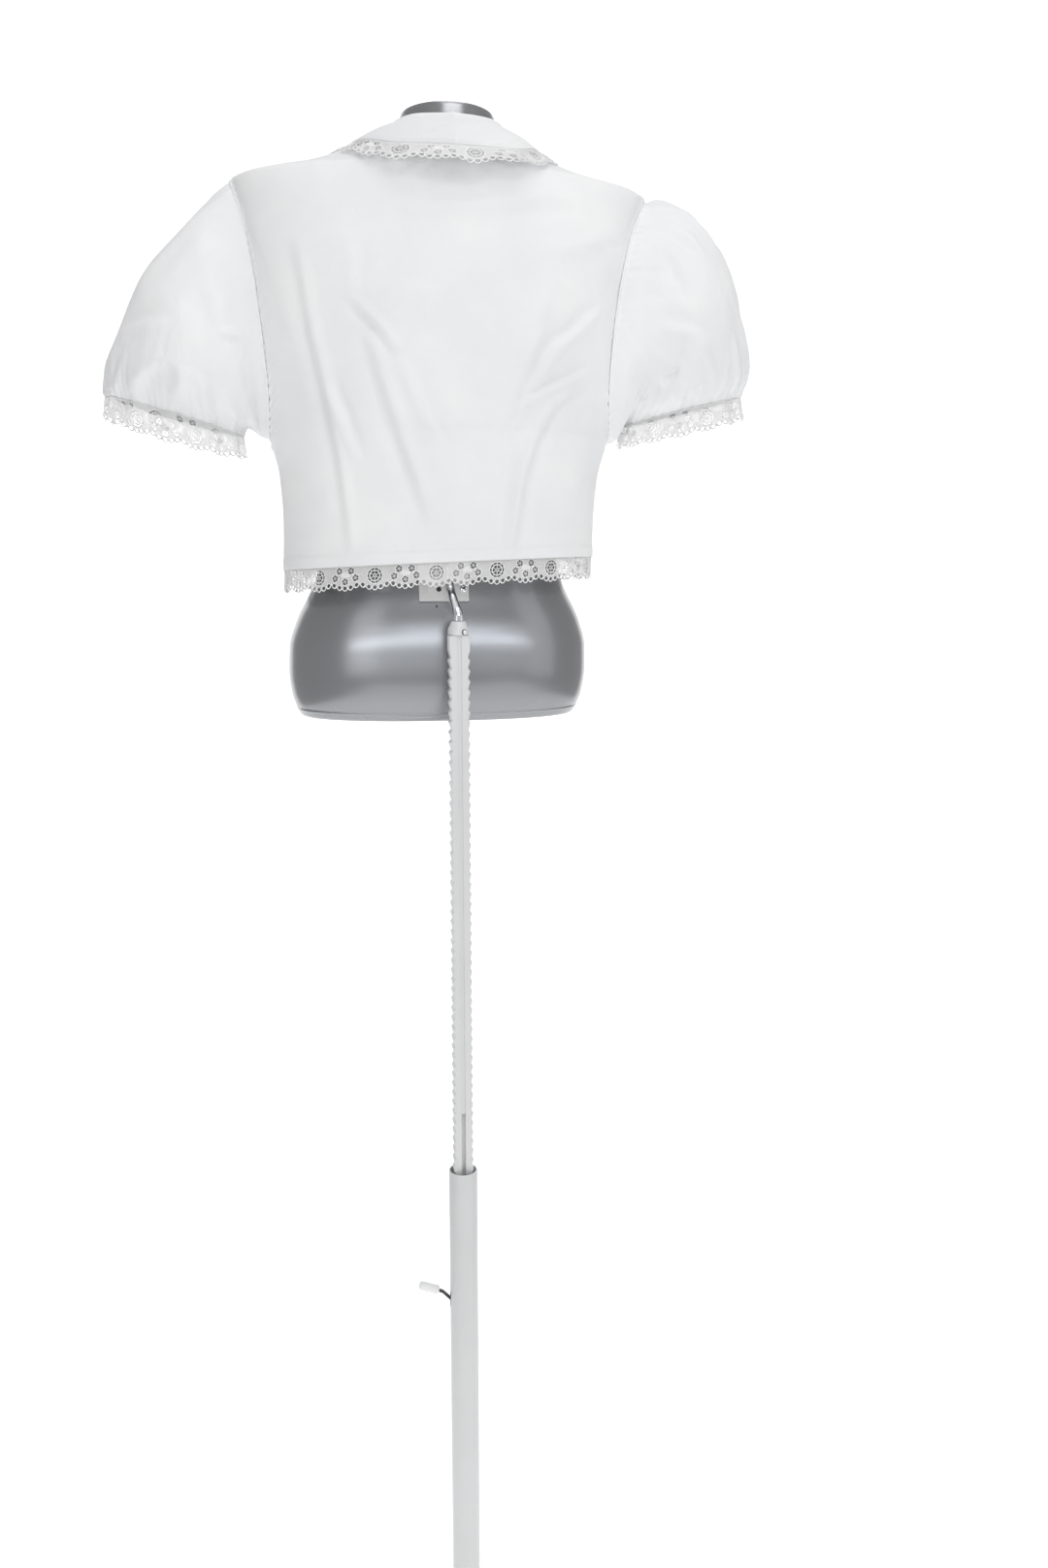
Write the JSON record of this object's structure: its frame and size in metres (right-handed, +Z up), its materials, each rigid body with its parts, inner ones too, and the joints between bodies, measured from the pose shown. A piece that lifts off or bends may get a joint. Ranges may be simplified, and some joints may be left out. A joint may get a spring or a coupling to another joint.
{
  "type": "blouse on dress form stand",
  "caption": "Cropped white cotton blouse with puff sleeves, turned collar and lace trims, worn by a grey limbless dress form on a white ratchet stand with a round foot.",
  "frame": {"origin": "centre of the round foot's underside, on the floor, on the axis of the stand's pole", "axes": "+Z up along the pole, +Y towards the wearer's front, -X towards the wearer's left"},
  "size_m": [0.6684, 0.423, 1.697],
  "materials": {
    "cotton": "matt plain-weave cotton",
    "lace": "cotton net with embroidered cord",
    "button": "pearly gloss",
    "form_grey": "satin metallic lacquer",
    "plate": "satin paint",
    "screw_steel": "bright plated",
    "white_paint": "satin white powder coat",
    "dark_steel": "blackened",
    "grip": "moulded matt"
  },
  "bodies": {
    "stand": {"base_plate": "white_paint", "base_socket": "white_paint", "stand_tube": "white_paint"},
    "form": {"post": "white_paint", "post_guide": "grip", "post_cap": "white_paint", "cap_screw": "screw_steel", "hook_rod": "screw_steel", "back_plate": "plate", "plate_screw": "screw_steel", "dress_form": "form_grey", "back": "cotton", "front_left": "cotton", "front_right": "cotton", "placket": "cotton", "button_1": "button", "button_2": "button", "button_3": "button", "button_4": "button", "button_5": "button", "sleeve_left": "cotton", "sleeve_right": "cotton", "cuff_lace_left": "lace", "cuff_lace_right": "lace", "collar": "cotton", "collar_lace": "lace", "hem_lace": "lace"},
    "lever": {"lever_strip": "dark_steel", "lever_grip": "grip"}
  },
  "joints": [
    {"name": "height_slide", "type": "slide", "parent": "stand", "child": "form", "axis": [0, 0, 1], "range_m": [-0.2, 0.22]},
    {"name": "lever_turn", "type": "hinge", "parent": "stand", "child": "lever", "pos_m": [-0.0142, 0, 0.4935], "axis": [0, 1, 0], "range_deg": [0, 18], "stiffness_Nm_per_rad": 0.05, "springref_deg": -5.73}
  ]
}
